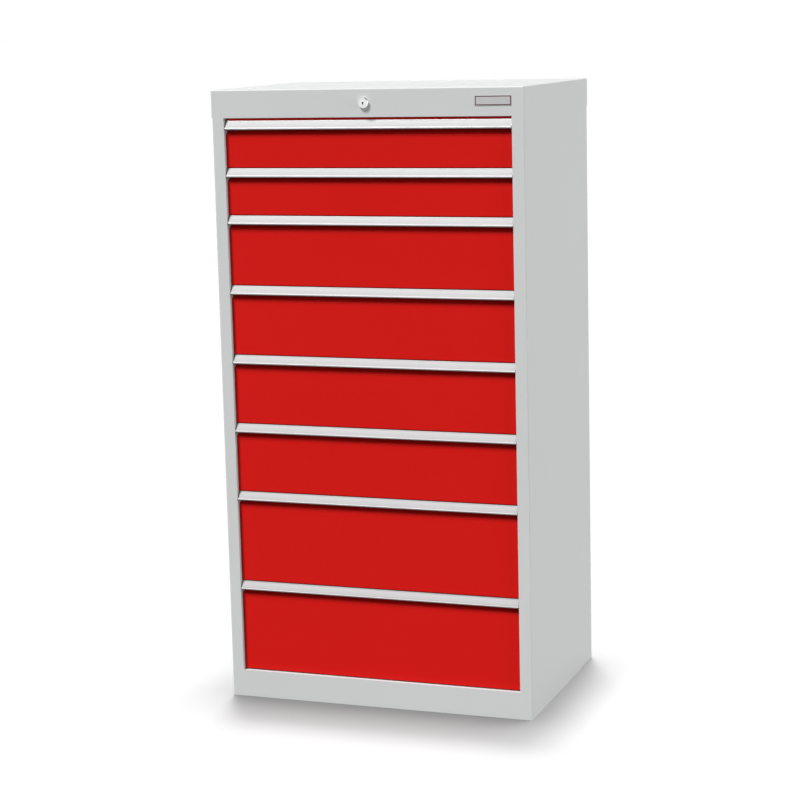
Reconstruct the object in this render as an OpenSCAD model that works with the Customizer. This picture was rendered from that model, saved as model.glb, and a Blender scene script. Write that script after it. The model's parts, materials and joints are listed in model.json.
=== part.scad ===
// Floor-standing steel drawer cabinet with eight full-extension drawers and one central lock.
// The front faces -Y, +X is to the viewer's right and z = 0 is the floor.

/* [Cabinet] */
// Width over the top cover
cabinet_w = 690; // [640:1:760]
// Depth over the top cover
cabinet_d = 490; // [460:1:560]
// Height of the base rail below the drawers
base_h = 59; // [45:1:90]
// Height of the top cover's flanges
header_h = 59; // [50:1:80]
// Thickness of the body's sheet steel
body_sheet = 1.25; // [1:0.05:1.5]
// Width of each front stile
stile_w = 26.25; // [24:0.25:32]
// Depth of each stile's inner return
return_d = 20; // [12:1:24]
// Width of the base's bottom flanges
foot_w = 30; // [20:1:60]
// Outer radius of the body's bends
bend_r = 2.5; // [1.8:0.1:4]

/* [Drawer stack] */
// Pitch of the two small drawers at the top
small_pitch = 100; // [92:1:125]
// Pitch of the four medium drawers
medium_pitch = 150; // [110:1:180]
// Pitch of the two large drawers at the bottom
large_pitch = 200; // [150:1:260]
// Gap between the header and the first handle strip
top_gap = 6; // [3:0.5:10]
// Gap between the base rail and the lowest drawer's space
bottom_gap = 1; // [1:0.5:5]
// Gap between a front and the handle strip below it
front_gap = 1; // [0.75:0.25:4]
// Gap between a front and each stile
side_gap = 1.25; // [0.75:0.25:3]
// Distance of the fronts behind the stiles' face
front_recess = 8; // [4:0.25:9]

/* [Drawer fronts] */
// Thickness of a front's sheet steel
front_sheet = 1; // [0.8:0.1:1.2]
// Depth of a front's folded edges
front_d = 25; // [22:1:32]
// Depth of the finger recess under a handle strip
recess_d = 16; // [12:0.5:18]
// Height of the recess's straight wall below a handle strip's nose
recess_wall = 0.5; // [0:0.5:6]
// Height of the slope that leads out of the recess
recess_slope = 9; // [7:0.5:24]
// Radius of the bend between a front's face and that slope
lip_r = 4; // [2:0.5:8]
// Outer radius of a front's bends
front_bend_r = 1.5; // [1.2:0.1:2.5]

/* [Handle strips] */
// Height of a handle strip's slanted face
strip_h = 19; // [16:0.5:22]
// Overhang of a handle strip's nose in front of the red face
strip_out = 8; // [6:0.5:12]
// Wall thickness of the extruded strip
strip_sheet = 2; // [1.5:0.1:2.5]
// Radius of the strip's rounded nose
nose_r = 2; // [1.6:0.1:2.6]
// Height of the nose's bead in front of the slanted face
nose_bead = 0.25; // [0.15:0.05:0.5]
// Height of the rear leg that is fixed in the finger recess
leg_h = 13; // [8:0.5:15]
// Height of the label groove in the slanted face
label_h = 13; // [8:0.5:13]
// Depth of the label groove
label_groove = 0.6; // [0.3:0.1:1]
// Width of the lip above the label groove
label_lip = 2; // [1:0.25:3]

/* [Drawer shells] */
// Thickness of a shell's sheet steel
shell_sheet = 1; // [0.8:0.1:1.5]
// Gap at the spot-welded seams between a shell's sheets
seam_gap = 0.05; // [0.02:0.01:0.1]
// Height of a shell's floor above the bottom of its space
shell_lift = 10; // [8:0.5:14]
// Distance of a shell's rim below the top of its space
shell_drop = 12; // [10:0.5:16]
// Height of the folded hem around a shell's rim
hem_h = 8; // [5:0.5:12]
// Free space between the shells and the back panel
rear_space = 50; // [48:0.5:80]
// Spacing of the divider slots in a shell's walls
slot_pitch = 25; // [20:1:50]
// Width of a divider slot
slot_w = 2; // [1.5:0.1:3]
// Distance from a shell's floor or rim to the ends of its slots
slot_margin = 15; // [12:1:24]

/* [Slides] */
// Width of the space that a slide fills beside a shell
slide_w = 16.5; // [15:0.25:20]
// Height of a slide
slide_h = 42; // [38:0.5:46]
// Thickness of the slide's rolled steel
rail_sheet = 1.8; // [1.2:0.1:2]
// Thickness of the middle rail's ball race
race_t = 3.4; // [2.6:0.1:4]
// Running gap between the rails of a slide
run_gap = 0.35; // [0.25:0.05:0.5]
// Distance of the outer rails' lips from the shell
lip_gap = 3; // [2.4:0.1:4]
// Height of a slide's middle above the shell's floor
slide_lift = 27; // [26:0.5:30]
// Distance of a slide's front end behind the shell's front
slide_setback = 2; // [1:0.5:6]

/* [Uprights] */
// Depth of an upright channel
upright_d = 40; // [30:1:60]
// Thickness of an upright's sheet steel
upright_sheet = 1.5; // [1.2:0.1:2]
// Distance of an upright from the stile return or from the shells' rear
upright_gap = 12; // [8:1:20]
// Spacing of the rail slots in an upright
rail_slot_pitch = 25; // [20:1:50]
// Width of a rail slot
rail_slot_w = 5; // [3:0.5:8]
// Height of a rail slot
rail_slot_h = 15; // [8:1:16]

/* [Lock] */
// Diameter of the lock's rosette
rosette_d = 22.5; // [21:0.5:28]
// Height of the rosette in front of the cover
rosette_t = 5.5; // [3:0.5:7]
// Chamfer around the rosette's front
rosette_chamfer = 1.2; // [0.5:0.1:2]
// Diameter of the lock's barrel
barrel_d = 18; // [16:0.5:19]
// Length of the barrel behind the cover's face
barrel_l = 26; // [18:1:40]
// Clearance around the barrel in its holes
barrel_gap = 0.1; // [0.05:0.05:0.2]
// Width of the lock's nut across its flats
nut_w = 24; // [22:0.5:28]
// Thickness of the lock's nut
nut_t = 5; // [3:0.5:8]
// Diameter of the turning plug
plug_d = 12; // [10:0.5:13]
// Running clearance around the plug and the shaft
turn_gap = 0.05; // [0.03:0.01:0.08]
// Distance of the plug's face behind the rosette's face
plug_recess = 0.5; // [0.2:0.1:1.5]
// Length of the plug behind the barrel
plug_tail = 4; // [2:0.5:8]
// Diameter of the keyhole's round part
keyhole_d = 4.2; // [3.5:0.1:5]
// Width of the keyhole's slot
keyhole_slot_w = 1.8; // [1.2:0.1:2.4]
// Reach of the keyhole's slot below the plug's middle
keyhole_slot_l = 4.6; // [4:0.1:4.8]
// Depth of the keyhole
keyhole_depth = 16; // [10:1:20]
// Diameter of the lock's long shaft
shaft_d = 8; // [6:0.5:9]
// Radius of the crank at the shaft's rear end
crank_r = 12; // [11:0.25:13]
// Thickness of the crank
crank_t = 5; // [4:0.5:6]
// Diameter of the crank's pin
pin_d = 6; // [5:0.25:7]
// Play of the pin in the bar's slot
pin_play = 0.8; // [0.6:0.1:1.2]
// Width of the locking bar
bar_w = 30; // [28:1:36]
// Thickness of the locking bar
bar_t = 3; // [2.5:0.5:4]
// Distance of the locking bar from the back panel
bar_stand = 12; // [10:0.5:13]
// Clearance between a hook at rest and the catch that passes over it
hook_gap = 3; // [2:0.25:4]
// Thickness of the hooks and catches
hook_t = 4; // [3:0.5:5]
// Width of a catch
catch_w = 24; // [16:1:30]
// Distance of a catch's lip behind the shell
catch_reach = 22; // [20:0.5:24]
// Thickness of a catch's sheet steel
catch_sheet = 2; // [1.5:0.1:2.5]
// Wall of the bar's guides and of the shaft's bracket
guide_wall = 4; // [3:0.5:6]
// Height of a guide
guide_h = 20; // [12:1:24]
// Sliding gap of the bar in its guides
guide_gap = 0.3; // [0.25:0.05:0.5]

/* [Plate] */
// Width of the bare plate on the header
plate_w = 77; // [50:1:90]
// Height of the plate
plate_h = 20; // [14:1:30]
// Thickness of the plate
plate_t = 0.8; // [0.5:0.1:1.5]
// Height of the plate's middle above the lock's axis
plate_rise = 1.9; // [0:0.1:4]

/* [Hidden] */
$fn = 48;
cut = 1;

// Heights of the stack
pitches = concat(
    [for (i = [1 : 2]) small_pitch],
    [for (i = [1 : 4]) medium_pitch],
    [for (i = [1 : 2]) large_pitch]
);
drawer_count = len(pitches);
function sum_from(list, i) = i >= len(list) ? 0 : list[i] + sum_from(list, i + 1);
function pitch(k) = pitches[k - 1];
function space_z(k) = base_h + bottom_gap + sum_from(pitches, k);
function space_top(k) = space_z(k) + pitch(k);
header_z = space_top(1) + top_gap;
cabinet_h = header_z + header_h;
body_top = cabinet_h - body_sheet;
panel_top = body_top - bend_r;

// Places across the cabinet
cover_half = cabinet_w / 2;
body_half = cover_half - body_sheet;
inner_half = body_half - body_sheet;
back_half = inner_half - bend_r;
opening_half = body_half - stile_w;
front_half = opening_half - side_gap;
shell_half = opening_half - slide_w;

// Places from front to back, with the whole cabinet centred from its foremost point to the rear
front_over = max(rosette_t, strip_out - front_recess - body_sheet);
cover_y = (front_over - cabinet_d) / 2;
stile_y = cover_y + body_sheet;
cover_rear = cover_y + cabinet_d;
body_rear = cover_rear - body_sheet;
back_y = body_rear - 2 * body_sheet;
red_y = stile_y + front_recess;
shell_y = red_y + front_d;
shell_rear = back_y - rear_space;
slide_y = shell_y + slide_setback;

// Finger recess, whose round lip crosses the face and the slope a little, and handle strip
recess_angle = atan(recess_d / recess_slope);
lip_ease = 0.05;
nose_across = strip_out - nose_r;
nose_down = strip_h - nose_r;
nose_far = norm([nose_across, nose_down]);
face_offset = nose_r - nose_bead;
strip_angle = atan(nose_across / nose_down) + asin(face_offset / nose_far);
strip_l = sqrt(nose_far * nose_far - face_offset * face_offset);

// Fronts, shells and slides
function front_bottom(k) = space_z(k) + front_gap;
function front_top(k) = space_top(k) - strip_sheet;
function shell_z(k) = space_z(k) + shell_lift;
function shell_top(k) = space_top(k) - shell_drop;
function slide_z(k) = shell_z(k) + slide_lift;
slide_l = shell_rear - shell_y;
outer_half_h = slide_h / 2;
middle_half_h = outer_half_h - rail_sheet - run_gap;
inner_half_h = middle_half_h - race_t - run_gap;
outer_web_x = opening_half - rail_sheet;
middle_web_x = outer_web_x - run_gap - rail_sheet;
inner_tip_x = middle_web_x - run_gap;
rail_lip_x = shell_half + lip_gap;

// Lock
lock_z = cabinet_h - header_h / 2;
rest_angle = 45;
pin_x = crank_r * cos(rest_angle);
pin_drop = crank_r * sin(rest_angle);
lock_travel = 2 * pin_drop;
bar_rear = back_y - bar_stand;
bar_y = bar_rear - bar_t;
bar_x = (pin_x + crank_r) / 2;
bar_bottom = base_h + guide_gap;
bar_top = lock_z - pin_drop + pin_d + pin_play;
crank_rear = bar_y - guide_wall;
crank_y = crank_rear - crank_t;
bracket_y = crank_y - guide_gap - guide_wall;
bracket_half = crank_r + pin_d + guide_wall;
lip_drop = lock_travel + catch_sheet;
function catch_z(k) = shell_top(k) - hem_h;
function hook_top(k) = catch_z(k) - lip_drop - hook_gap;
hook_y = shell_rear + catch_reach - catch_sheet - hook_gap - hook_t;
guided_drawers = [3, 6, 8];

// Colours
body_grey = [0.78, 0.79, 0.79];
front_red = [0.79, 0.11, 0.09];
aluminium = [0.88, 0.88, 0.88];
zinc = [0.66, 0.68, 0.7];
nickel = [0.82, 0.81, 0.78];
nylon = [0.2, 0.2, 0.21];

drawer_pieces = ["shell", "front", "handle", "runners", "slides"];

// A block between two opposite corners
module block(low, high) {
    translate(low)
        cube(high - low);
}

// A rectangle between two opposite corners
module area(low, high) {
    translate(low)
        square(high - low);
}

// A rectangle with four round corners
module round_area(low, high, r) {
    area([low.x + r, low.y], [high.x - r, high.y]);
    area([low.x, low.y + r], [high.x, high.y - r]);
    for (x = [low.x + r, high.x - r], y = [low.y + r, high.y - r])
        translate([x, y])
            circle(r);
}

// Extrudes a section drawn in Y and Z
module along_x(from, to) {
    translate([from, 0, 0])
        rotate([90, 0, 90])
            linear_extrude(to - from)
                children();
}

// Extrudes a section drawn in X and Z
module along_y(from, to) {
    translate([0, to, 0])
        rotate([90, 0, 0])
            linear_extrude(to - from)
                children();
}

// Extrudes a plan drawn in X and Y
module along_z(from, to) {
    translate([0, 0, from])
        linear_extrude(to - from)
            children();
}

// Draws a piece on the right and its mirror image on the left
module both_sides() {
    children();
    mirror([1, 0, 0])
        children();
}

// Runs along the lock's axis, with local z from the cover's face to the rear and local y down
module on_lock_axis() {
    translate([0, cover_y, lock_z])
        rotate([-90, 0, 0])
            children();
}

// A block whose upright edges and top edges are bent round
module bent_block(low, high, r) {
    intersection() {
        along_z(low.z, high.z)
            round_area([low.x, low.y], [high.x, high.y], r);
        along_x(low.x, high.x)
            round_area([low.y, low.z - 2 * r], [high.y, high.z], r);
        along_y(low.y, high.y)
            round_area([low.x, low.z - 2 * r], [high.x, high.z], r);
    }
}

// Plan of the right side panel: stile return, stile, wall and rear flange in one fold
module side_plan() {
    difference() {
        intersection() {
            area([opening_half, stile_y], [body_half, body_rear]);
            round_area([opening_half - 2 * bend_r, stile_y], [body_half, body_rear], bend_r);
        }
        round_area(
            [opening_half + body_sheet, stile_y + body_sheet],
            [inner_half, body_rear - body_sheet],
            bend_r - body_sheet
        );
        area(
            [opening_half - cut, stile_y + return_d],
            [opening_half + bend_r, body_rear + cut]
        );
    }
}

module right_side() {
    color(body_grey)
        along_z(0, panel_top)
            side_plan();
}

module left_side() {
    color(body_grey)
        mirror([1, 0, 0])
            along_z(0, panel_top)
                side_plan();
}

module back_panel() {
    color(body_grey)
        block([-back_half, back_y, 0], [back_half, back_y + body_sheet, panel_top]);
}

// Section of the base: bottom flanges, front rail, floor and rear wall
module base_section() {
    difference() {
        area([stile_y, 0], [back_y, base_h]);
        area([stile_y + body_sheet, body_sheet], [back_y - body_sheet, base_h - body_sheet]);
        area([stile_y + foot_w, -cut], [back_y - foot_w, base_h - body_sheet]);
    }
}

module base() {
    floor_y = stile_y + return_d;
    color(body_grey)
        union() {
            along_x(-opening_half, opening_half)
                base_section();
            both_sides()
                block([opening_half, floor_y, base_h - body_sheet], [inner_half, back_y, base_h]);
            both_sides()
                block([inner_half - body_sheet, floor_y, 0], [inner_half, back_y, base_h]);
        }
}

module top_cover() {
    color(body_grey)
        difference() {
            bent_block([-cover_half, cover_y, header_z], [cover_half, cover_rear, cabinet_h], bend_r);
            bent_block(
                [-body_half, stile_y, header_z - cut],
                [body_half, body_rear, body_top],
                bend_r - body_sheet
            );
            on_lock_axis()
                translate([0, 0, -cut])
                    cylinder(h = body_sheet + 2 * cut, d = barrel_d + 2 * barrel_gap);
        }
}

module header_rail() {
    color(body_grey)
        difference() {
            block([-opening_half, stile_y, header_z], [opening_half, stile_y + return_d, panel_top]);
            block(
                [-opening_half - cut, stile_y + body_sheet, header_z + body_sheet],
                [opening_half + cut, stile_y + return_d + cut, panel_top - body_sheet]
            );
            on_lock_axis()
                cylinder(h = 2 * body_sheet + cut, d = barrel_d + 2 * barrel_gap);
        }
}

// The right upright channel that starts at y, with one column of rail slots
module upright(y) {
    slot_count = floor((header_z - base_h) / rail_slot_pitch) - 1;
    slot_y = y + (upright_d - rail_slot_w) / 2;
    difference() {
        block([opening_half, y, base_h], [inner_half, y + upright_d, header_z]);
        block(
            [opening_half + upright_sheet, y + upright_sheet, base_h - cut],
            [inner_half + cut, y + upright_d - upright_sheet, header_z + cut]
        );
        for (i = [1 : slot_count])
            translate([opening_half - cut, slot_y, base_h + i * rail_slot_pitch])
                cube([upright_sheet + 2 * cut, rail_slot_w, rail_slot_h]);
    }
}

module front_uprights() {
    color(zinc)
        both_sides()
            upright(stile_y + return_d + upright_gap);
}

module rear_uprights() {
    color(zinc)
        both_sides()
            upright(shell_rear - upright_gap - upright_d);
}

// Section of a rail that opens towards the shell, about the slide's middle
module outer_channel(web_x, half_h, flange_t) {
    difference() {
        area([rail_lip_x, -half_h], [web_x + rail_sheet, half_h]);
        area([rail_lip_x - cut, flange_t - half_h], [web_x, half_h - flange_t]);
    }
}

// Section of the drawer's rail, which opens away from the shell
module inner_channel() {
    difference() {
        area([shell_half, -inner_half_h], [inner_tip_x, inner_half_h]);
        area(
            [shell_half + rail_sheet, rail_sheet - inner_half_h],
            [inner_tip_x + cut, inner_half_h - rail_sheet]
        );
    }
}

// The cabinet's rails of all slides on the right
module cabinet_rails() {
    for (k = [1 : drawer_count])
        translate([0, 0, slide_z(k)])
            along_y(slide_y, slide_y + slide_l)
                outer_channel(outer_web_x, outer_half_h, rail_sheet);
}

module right_rails() {
    color(zinc)
        cabinet_rails();
}

module left_rails() {
    color(zinc)
        mirror([1, 0, 0])
            cabinet_rails();
}

// The middle rails of drawer k, one on each side
module drawer_slides(k) {
    color(zinc)
        both_sides()
            translate([0, 0, slide_z(k)])
                along_y(slide_y, slide_y + slide_l)
                    outer_channel(middle_web_x, middle_half_h, race_t);
}

// Section of the lock catch on drawer k's back
module catch_section(k) {
    lip_rear = shell_rear + catch_reach;
    area([shell_rear, catch_z(k) - lip_drop], [shell_rear + catch_sheet, catch_z(k)]);
    area([shell_rear, catch_z(k) - catch_sheet], [lip_rear, catch_z(k)]);
    area([lip_rear - catch_sheet, catch_z(k) - lip_drop], [lip_rear, catch_z(k)]);
}

// The rails that are fixed to drawer k's shell, and its lock catch
module drawer_runners(k) {
    color(zinc) {
        both_sides()
            translate([0, 0, slide_z(k)])
                along_y(slide_y, slide_y + slide_l)
                    inner_channel();
        along_x(bar_x - catch_w / 2, bar_x + catch_w / 2)
            catch_section(k);
    }
}

// Divider slots through a wall of drawer k, spread evenly about the wall's middle
module slot_row(k, wall_l) {
    slot_count = floor((wall_l - slot_pitch) / slot_pitch);
    low = shell_z(k) + slot_margin;
    high = shell_top(k) - slot_margin;
    for (i = [0 : slot_count - 1])
        translate([(i - (slot_count - 1) / 2) * slot_pitch, 0, low])
            translate([-slot_w / 2, -shell_sheet - cut, 0])
                cube([slot_w, 2 * (shell_sheet + cut), high - low]);
}

// The tray of drawer k: floor, side walls with outer hems, rear wall, and a front plate that closes the red front
module drawer_shell(k) {
    inside_half = shell_half - shell_sheet;
    seam_half = inside_half - seam_gap;
    front_rear = shell_y + shell_sheet;
    rear_front = shell_rear - shell_sheet;
    side_y = front_rear + seam_gap;
    middle_y = (shell_y + shell_rear) / 2;
    color(body_grey) {
        block(
            [-seam_half, side_y, shell_z(k)],
            [seam_half, rear_front - seam_gap, shell_z(k) + shell_sheet]
        );
        both_sides()
            difference() {
                union() {
                    block([inside_half, side_y, shell_z(k)], [shell_half, shell_rear, shell_top(k)]);
                    block(
                        [inside_half, side_y, shell_top(k) - hem_h],
                        [shell_half + shell_sheet, shell_rear, shell_top(k)]
                    );
                }
                translate([inside_half, middle_y, 0])
                    rotate([0, 0, 90])
                        slot_row(k, slide_l);
            }
        difference() {
            block([-seam_half, rear_front, shell_z(k)], [seam_half, shell_rear, shell_top(k)]);
            translate([0, rear_front, 0])
                slot_row(k, 2 * inside_half);
        }
        difference() {
            block([-front_half, shell_y, front_bottom(k)], [front_half, front_rear, front_top(k)]);
            translate([0, front_rear, 0])
                slot_row(k, 2 * inside_half);
        }
    }
}

// Outline of a front's section, moved inwards by inset, with its open back at rear_y
function front_outline(bottom, top, inset, rear_y) =
    let (
        recess_z = top + strip_sheet - strip_h - recess_wall - inset * tan(recess_angle / 2),
        face_y = red_y + inset
    )
    [
        [face_y, bottom + inset],
        [face_y, recess_z - recess_slope],
        [face_y + recess_d, recess_z],
        [face_y + recess_d, top - inset],
        [rear_y, top - inset],
        [rear_y, bottom + inset]
    ];

// Section of drawer k's front, moved inwards by inset, with a round lip below the finger recess
module front_section(k, inset, rear_y) {
    half_angle = recess_angle / 2;
    slope_z = front_top(k) + strip_sheet - strip_h - recess_wall - recess_slope;
    reach = lip_r + cut;
    difference() {
        polygon(front_outline(front_bottom(k), front_top(k), inset, rear_y));
        translate([red_y + lip_r, slope_z - lip_r * tan(half_angle)])
            difference() {
                polygon([
                    [0, 0],
                    [-reach, 0],
                    [-reach, reach * tan(half_angle)],
                    [-reach * cos(recess_angle), reach * sin(recess_angle)]
                ]);
                circle(lip_r + lip_ease - inset);
            }
    }
}

// The folded red front of drawer k: a pan that is open at the back, with the finger recess at its top
module drawer_front(k) {
    bottom = front_bottom(k);
    top = front_top(k);
    inside_half = front_half - front_sheet;
    round_r = front_bend_r;
    color(front_red)
        difference() {
            intersection() {
                along_x(-front_half, front_half)
                    intersection() {
                        front_section(k, 0, shell_y);
                        round_area([red_y, bottom], [shell_y + round_r, top + round_r], round_r);
                    }
                along_z(bottom - cut, top + cut)
                    round_area([-front_half, red_y], [front_half, shell_y + round_r], round_r);
            }
            along_x(-inside_half, inside_half)
                front_section(k, front_sheet, shell_y + cut);
        }
}

// Section of a handle strip about its top front edge
module strip_section() {
    difference() {
        rotate(-strip_angle)
            area([0, -strip_l], [strip_sheet, 0]);
        rotate(-strip_angle)
            area([-cut, -label_lip - label_h], [label_groove, -label_lip]);
    }
    translate([-nose_across, -nose_down])
        circle(nose_r);
    area([0, -strip_sheet], [front_d, 0]);
    area([recess_d - strip_sheet, -leg_h], [recess_d, 0]);
}

module drawer_handle(k) {
    color(aluminium)
        along_x(-front_half, front_half)
            translate([red_y, space_top(k)])
                strip_section();
}

module lock_housing() {
    face_z = -rosette_t;
    color(nickel)
        on_lock_axis()
            difference() {
                union() {
                    translate([0, 0, face_z])
                        cylinder(h = rosette_chamfer, d1 = rosette_d - 2 * rosette_chamfer, d2 = rosette_d);
                    translate([0, 0, face_z + rosette_chamfer])
                        cylinder(h = rosette_t - rosette_chamfer, d = rosette_d);
                    cylinder(h = barrel_l, d = barrel_d);
                }
                translate([0, 0, face_z - cut])
                    cylinder(h = rosette_t + barrel_l + 2 * cut, d = plug_d + 2 * turn_gap);
            }
}

module lock_nut() {
    color(nickel)
        on_lock_axis()
            translate([0, 0, 2 * body_sheet])
                difference() {
                    cylinder(h = nut_t, d = nut_w / cos(30), $fn = 6);
                    translate([0, 0, -cut])
                        cylinder(h = nut_t + 2 * cut, d = barrel_d + 2 * barrel_gap);
                }
}

module lock_plug() {
    face_z = plug_recess - rosette_t;
    color(nickel)
        on_lock_axis()
            difference() {
                translate([0, 0, face_z])
                    cylinder(h = barrel_l + plug_tail - face_z, d = plug_d);
                translate([0, 0, face_z - cut])
                    cylinder(h = keyhole_depth + cut, d = keyhole_d);
                translate([-keyhole_slot_w / 2, 0, face_z - cut])
                    cube([keyhole_slot_w, keyhole_slot_l, keyhole_depth + cut]);
            }
}

// The shaft from the plug to the back, with its crank and pin
module lock_shaft() {
    start = barrel_l + plug_tail;
    crank_start = crank_y - cover_y;
    pin_end = bar_rear + pin_play - cover_y;
    color(zinc)
        on_lock_axis() {
            translate([0, 0, start])
                cylinder(h = crank_start + crank_t - start, d = shaft_d);
            rotate([0, 0, rest_angle]) {
                translate([0, 0, crank_start]) {
                    cylinder(h = crank_t, d = shaft_d + guide_wall);
                    translate([0, -pin_d / 2, 0])
                        cube([crank_r, pin_d, crank_t]);
                }
                translate([crank_r, 0, crank_start])
                    cylinder(h = pin_end - crank_start, d = pin_d);
            }
        }
}

// The folded bracket on the back panel that carries the shaft's rear end
module shaft_bracket() {
    low_z = lock_z - shaft_d - guide_wall;
    high_z = lock_z + shaft_d + guide_wall;
    color(zinc)
        difference() {
            union() {
                block([-bracket_half, bracket_y, low_z], [shaft_d + guide_wall, bracket_y + guide_wall, high_z]);
                block([-bracket_half, bracket_y, low_z], [guide_wall - bracket_half, back_y, high_z]);
                block([-2 * bracket_half, back_y - guide_wall, low_z], [guide_wall - bracket_half, back_y, high_z]);
            }
            on_lock_axis()
                translate([0, 0, bracket_y - cover_y - cut])
                    cylinder(h = guide_wall + 2 * cut, d = shaft_d + 2 * turn_gap);
        }
}

// One hook of the locking bar: an arm that reaches forward and a finger that stands up
module hook_section(k) {
    arm_top = hook_top(k) - lock_travel;
    area([hook_y, arm_top - hook_t], [bar_rear, arm_top]);
    area([hook_y, arm_top - hook_t], [hook_y + hook_t, hook_top(k)]);
}

module lock_bar() {
    pin_z = lock_z - pin_drop;
    slot_half = pin_d / 2 + pin_play;
    color(zinc)
        union() {
            difference() {
                block([bar_x - bar_w / 2, bar_y, bar_bottom], [bar_x + bar_w / 2, bar_rear, bar_top]);
                block(
                    [pin_x - slot_half, bar_y - cut, pin_z - slot_half],
                    [crank_r + slot_half, bar_rear + cut, pin_z + slot_half]
                );
            }
            for (k = [1 : drawer_count])
                along_x(bar_x - hook_t / 2, bar_x + hook_t / 2)
                    hook_section(k);
        }
}

// Blocks on the back panel that the locking bar slides through
module bar_guides() {
    slot_half = bar_w / 2 + guide_gap;
    block_half = slot_half + guide_wall;
    color(nylon)
        for (k = guided_drawers)
            difference() {
                block(
                    [bar_x - block_half, bar_y - guide_gap - guide_wall, shell_z(k)],
                    [bar_x + block_half, back_y, shell_z(k) + guide_h]
                );
                block(
                    [bar_x - slot_half, bar_y - guide_gap, shell_z(k) - cut],
                    [bar_x + slot_half, bar_rear + guide_gap, shell_z(k) + guide_h + cut]
                );
            }
}

module header_plate() {
    color(aluminium)
        translate([opening_half - plate_w, cover_y - plate_t, lock_z + plate_rise - plate_h / 2])
            cube([plate_w, plate_t, plate_h]);
}

left_side();
right_side();
back_panel();
base();
top_cover();
header_rail();
front_uprights();
rear_uprights();
left_rails();
right_rails();
lock_housing();
lock_nut();
shaft_bracket();
bar_guides();
header_plate();
lock_plug();
lock_shaft();
lock_bar();
for (k = [1 : drawer_count]) {
    drawer_shell(k);
    drawer_front(k);
    drawer_handle(k);
    drawer_runners(k);
    drawer_slides(k);
}
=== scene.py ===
"""Finishes, small fittings and studio of a steel drawer cabinet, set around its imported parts."""
import json
import math

import bmesh
import bpy
from bpy.props import FloatProperty, FloatVectorProperty, IntProperty, PointerProperty
from mathutils import Matrix, Vector

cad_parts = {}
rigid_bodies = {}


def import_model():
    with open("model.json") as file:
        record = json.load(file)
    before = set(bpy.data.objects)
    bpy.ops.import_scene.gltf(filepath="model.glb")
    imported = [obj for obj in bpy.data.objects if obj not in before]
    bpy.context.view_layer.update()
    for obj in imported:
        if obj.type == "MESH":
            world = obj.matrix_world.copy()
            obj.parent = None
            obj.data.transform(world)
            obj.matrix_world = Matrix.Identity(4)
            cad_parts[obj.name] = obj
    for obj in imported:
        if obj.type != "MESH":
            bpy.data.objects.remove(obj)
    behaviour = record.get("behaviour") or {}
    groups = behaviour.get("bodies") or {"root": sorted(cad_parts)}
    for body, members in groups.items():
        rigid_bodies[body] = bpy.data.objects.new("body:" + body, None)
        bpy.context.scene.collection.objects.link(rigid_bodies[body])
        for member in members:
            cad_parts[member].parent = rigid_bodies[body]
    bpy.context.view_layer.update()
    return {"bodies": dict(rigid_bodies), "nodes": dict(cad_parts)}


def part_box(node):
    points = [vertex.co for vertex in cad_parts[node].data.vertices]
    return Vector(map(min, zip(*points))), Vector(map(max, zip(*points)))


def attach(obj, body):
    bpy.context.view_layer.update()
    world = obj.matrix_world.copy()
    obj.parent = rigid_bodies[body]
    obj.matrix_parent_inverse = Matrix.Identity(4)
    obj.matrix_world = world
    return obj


bl_info = {
    "name": "Steel drawer cabinet",
    "version": (1, 0, 0),
    "blender": (4, 5, 0),
    "location": "View3D > Sidebar > Cabinet",
    "description": "Dresses the packed drawer cabinet with its finishes, fittings and studio",
    "category": "Object",
}

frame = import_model()
nodes = frame["nodes"]
drawers = sorted(int(name.split("_")[1]) for name in frame["bodies"] if name.startswith("drawer_"))

MM = 0.001
TOP_DRAWER = f"drawer_{drawers[0]}"
WHITE = (1.0, 1.0, 1.0, 1.0)
SENSOR_WIDTH = 36.0
SHARP_ANGLE = math.radians(35)
RING_POINTS = 24
FLOOR_POINTS = 96
LABEL_STEPS = 8
BEND_STEPS = 6

# Share of the groove that stays empty in front of a label, and of the lip's sheet that its edges are eased by
LABEL_ROOM = 0.45
LIP_EASE = 0.3

# The keyhole guard, a near-black piece that stands in as painted shade inside the keyhole, from its rear to
# its bottom: share of its outline, and depth as a multiple of its sink
GUARD_SECTION = ((1.0, 12), (1.0, 1), (0.7, 1), (0.7, 6), (0.3, 7))

# A button head from its foot to its socket's bottom: share of its radius, or of its socket, and of its height
HEAD_DOME = ((1.0, -0.05), (1.0, 0.2), (0.93, 0.5), (0.77, 0.8), (0.56, 1.0))
HEAD_SOCKET = ((1.0, 1.0), (1.0, 0.4), (0.4, 0.3))

# Where a rail's screws sit along it
RAIL_SCREWS = (0.08, 0.36, 0.64, 0.92)

# Softness of the rosette's rougher groove band, and how far its colour is darkened there as painted shade of
# a groove
GROOVE_EDGE = 0.4 * MM
GROOVE_SHADE = 0.9

# How far the plate's border line reaches into the plate
BORDER_SINK = 0.02 * MM

# Heights, as sines, between which the sky turns from ground to horizon and from horizon to zenith
HORIZON_FADE = (-0.25, -0.02)
ZENITH_FADE = (0.1, 0.4)

# Lights on the floor alone: name, share, lean to the right and to the back, and spread, in degrees
FLOOR_LIGHTS = (
    ("rear floor light", 0.34, -3.2, 8.5, 5.3),
    ("overhead floor light", 0.66, 0.1, 2.2, 12.0),
)


# Shader wiring

class Wire:
    """A value on its way to a finish's shader: arithmetic on it adds Math nodes to that finish."""

    def __init__(self, finish, socket):
        self.finish = finish
        self.socket = socket

    def __add__(self, other):
        return self.finish.maths("ADD", self, other)

    def __radd__(self, other):
        return self.finish.maths("ADD", other, self)

    def __sub__(self, other):
        return self.finish.maths("SUBTRACT", self, other)

    def __rsub__(self, other):
        return self.finish.maths("SUBTRACT", other, self)

    def __mul__(self, other):
        return self.finish.maths("MULTIPLY", self, other)

    def __rmul__(self, other):
        return self.finish.maths("MULTIPLY", other, self)


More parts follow.
